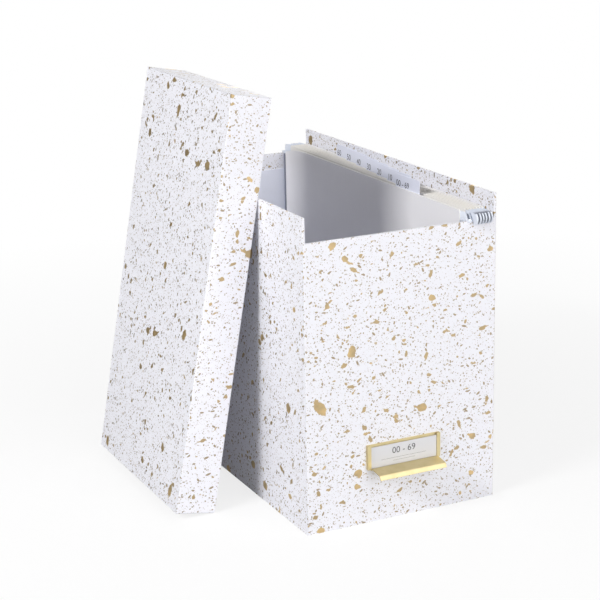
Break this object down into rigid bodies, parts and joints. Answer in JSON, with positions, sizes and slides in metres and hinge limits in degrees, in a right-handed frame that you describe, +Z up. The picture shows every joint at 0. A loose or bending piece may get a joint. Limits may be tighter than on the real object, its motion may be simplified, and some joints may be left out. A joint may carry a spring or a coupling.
{
  "type": "document box",
  "caption": "Tall open-topped document box of paper-covered board with a lift-off lid leaning beside it, a brass label holder with finger pull and a concertina file inside.",
  "frame": {"origin": "centre of the box's underside, where it stands on the desk", "axes": "+X to the right along the front, the front with the label holder faces -Y, +Z up"},
  "size_m": [0.2644, 0.3766, 0.3575],
  "materials": {
    "splatter_board": "matte, gold splatter print on laminated board",
    "lining_paper": "matte plain paper",
    "brass": "satin",
    "label_card": "smooth card",
    "file_card": "matte manila card",
    "tab_card": "smooth card",
    "gusset_paper": "matte folded paper"
  },
  "bodies": {
    "box": {"base_board": "splatter_board", "front_wall": "splatter_board", "back_wall": "splatter_board", "left_wall": "splatter_board", "right_wall": "splatter_board", "lining_base": "lining_paper", "lining_front": "lining_paper", "lining_back": "lining_paper", "lining_left": "lining_paper", "lining_right": "lining_paper", "label_holder": "brass", "holder_rivets": "brass", "rivet_washers": "brass"},
    "lid": {"lid_top_board": "splatter_board", "lid_side_skirt_near": "splatter_board", "lid_side_skirt_far": "splatter_board", "lid_end_skirt_lower": "splatter_board", "lid_end_skirt_upper": "splatter_board", "lid_lining": "lining_paper"},
    "card": {"label_card": "label_card"},
    "file_back": {"file_back_cover": "file_card", "gusset_front": "gusset_paper", "gusset_back": "gusset_paper", "gusset_bottom": "gusset_paper"},
    "file_divider_6": {"divider_6": "file_card", "index_tab_7": "tab_card"},
    "file_divider_5": {"divider_5": "file_card", "index_tab_6": "tab_card"},
    "file_divider_4": {"divider_4": "file_card", "index_tab_5": "tab_card"},
    "file_divider_3": {"divider_3": "file_card", "index_tab_4": "tab_card"},
    "file_divider_2": {"divider_2": "file_card", "index_tab_3": "tab_card"},
    "file_divider_1": {"divider_1": "file_card", "index_tab_2": "tab_card"},
    "file_front": {"file_front_cover": "file_card", "index_tab_1": "tab_card"}
  },
  "joints": [
    {"name": "lid_lift", "type": "slide", "parent": "box", "child": "lid", "axis": [0, 0, 1], "range_m": [0, 0.3]},
    {"name": "card_slide", "type": "slide", "parent": "box", "child": "card", "axis": [0, 0, 1], "range_m": [0, 0.022]},
    {"name": "file_lift", "type": "slide", "parent": "box", "child": "file_back", "axis": [0, 0, 1], "range_m": [0, 0.27]},
    {"name": "file_expand", "type": "slide", "parent": "file_back", "child": "file_divider_6", "axis": [-1, 0, 0], "range_m": [0, 0.009], "deforming": ["gusset_front", "gusset_back", "gusset_bottom"]},
    {"name": "pocket_6_open", "type": "slide", "parent": "file_divider_6", "child": "file_divider_5", "axis": [-1, 0, 0], "range_m": [0, 0.009]},
    {"name": "pocket_5_open", "type": "slide", "parent": "file_divider_5", "child": "file_divider_4", "axis": [-1, 0, 0], "range_m": [0, 0.009]},
    {"name": "pocket_4_open", "type": "slide", "parent": "file_divider_4", "child": "file_divider_3", "axis": [-1, 0, 0], "range_m": [0, 0.009]},
    {"name": "pocket_3_open", "type": "slide", "parent": "file_divider_3", "child": "file_divider_2", "axis": [-1, 0, 0], "range_m": [0, 0.009]},
    {"name": "pocket_2_open", "type": "slide", "parent": "file_divider_2", "child": "file_divider_1", "axis": [-1, 0, 0], "range_m": [0, 0.009]},
    {"name": "pocket_1_open", "type": "slide", "parent": "file_divider_1", "child": "file_front", "axis": [-1, 0, 0], "range_m": [0, 0.00621]}
  ],
  "couplings": [
    {"joint": "pocket_6_open", "follows": "file_expand", "ratio": 1},
    {"joint": "pocket_5_open", "follows": "file_expand", "ratio": 1},
    {"joint": "pocket_4_open", "follows": "file_expand", "ratio": 1},
    {"joint": "pocket_3_open", "follows": "file_expand", "ratio": 1},
    {"joint": "pocket_2_open", "follows": "file_expand", "ratio": 1},
    {"joint": "pocket_1_open", "follows": "file_expand", "ratio": 0.69}
  ]
}
